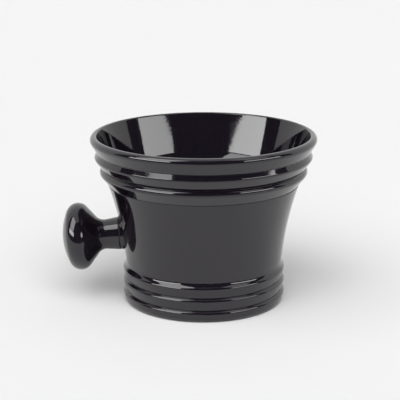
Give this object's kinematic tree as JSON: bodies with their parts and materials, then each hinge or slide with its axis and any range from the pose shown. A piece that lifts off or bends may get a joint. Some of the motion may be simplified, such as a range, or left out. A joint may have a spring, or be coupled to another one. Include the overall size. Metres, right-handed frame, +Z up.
{
  "type": "shaving mug",
  "caption": "Glossy black shaving mug: a banded round-bottomed lather bowl on a hollow waisted base, with a mushroom knob bolted to its side as a handle.",
  "frame": {"origin": "centre of the foot pad's lower face, on the mug's axis, in the plane that the mug stands on", "axes": "+Z up the mug's axis to the open rim; -X towards the knob; +Y to the mug's left when the knob points at the viewer's left and the viewer looks along +Y"},
  "size_m": [0.1246, 0.11, 0.083],
  "materials": {
    "bowl_plastic": "polished",
    "base_plastic": "polished",
    "knob_plastic": "polished",
    "seal_rubber": "matte",
    "pad_rubber": "matte",
    "insert_brass": "machined",
    "zinc_steel": "zinc plated",
    "washer_nylon": "matte"
  },
  "bodies": {
    "root": {"bowl": "bowl_plastic", "base": "base_plastic", "seam_seal": "seal_rubber", "foot_pad": "pad_rubber", "knob": "knob_plastic", "knob_insert": "insert_brass", "knob_gasket": "seal_rubber", "knob_stud": "zinc_steel", "stud_washer": "zinc_steel", "stud_spring_washer": "zinc_steel", "stud_nut": "zinc_steel", "bowl_screw": "zinc_steel", "bowl_screw_washer": "washer_nylon"}
  },
  "joints": []
}
